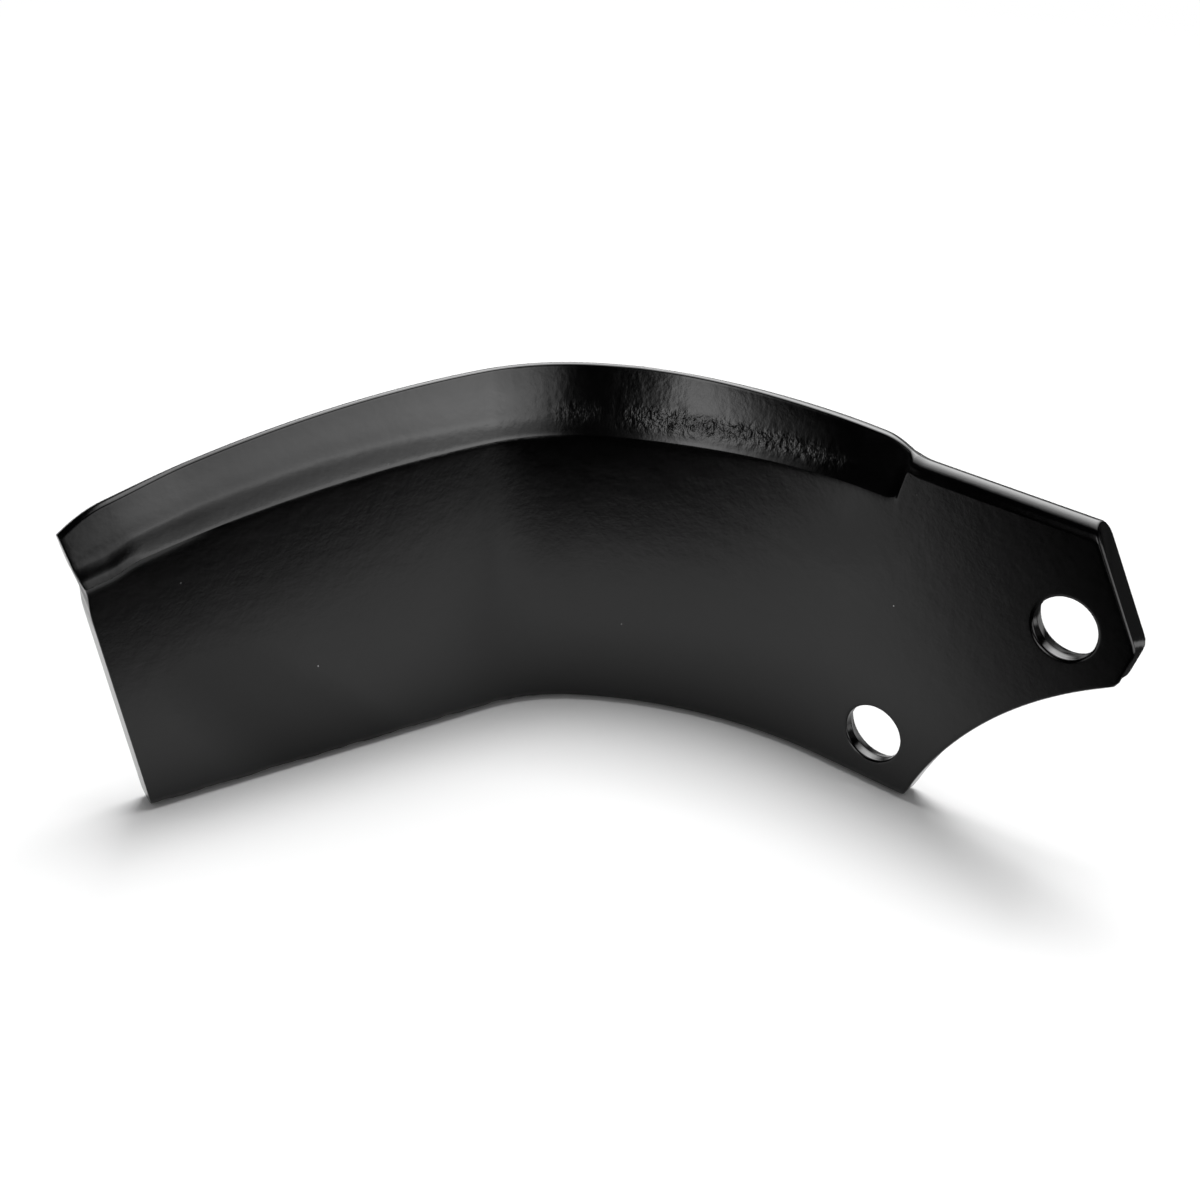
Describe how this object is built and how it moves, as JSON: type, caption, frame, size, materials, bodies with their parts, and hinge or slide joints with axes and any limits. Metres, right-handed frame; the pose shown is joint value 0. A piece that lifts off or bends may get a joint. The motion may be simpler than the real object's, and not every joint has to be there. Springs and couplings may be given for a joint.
{
  "type": "rotary tiller blade",
  "caption": "Bent steel soil-cutting blade with a drilled shank, a scalloped foot and a forged bevel along its curved cutting edge.",
  "frame": {"origin": "midway between the two bolt holes, on the back face of the shank, which bears on the rotor flange", "axes": "+X along the shank towards its cut end, +Y out of the shank's back face into the rotor flange, +Z across the bar from the trailing edge, on which the blade stands, to the cutting edge; the leg bends away towards -X and -Y"},
  "size_m": [0.1696, 0.1274, 0.0845],
  "materials": {
    "paint": "gloss"
  },
  "bodies": {
    "root": {"blade": "paint"}
  },
  "joints": []
}
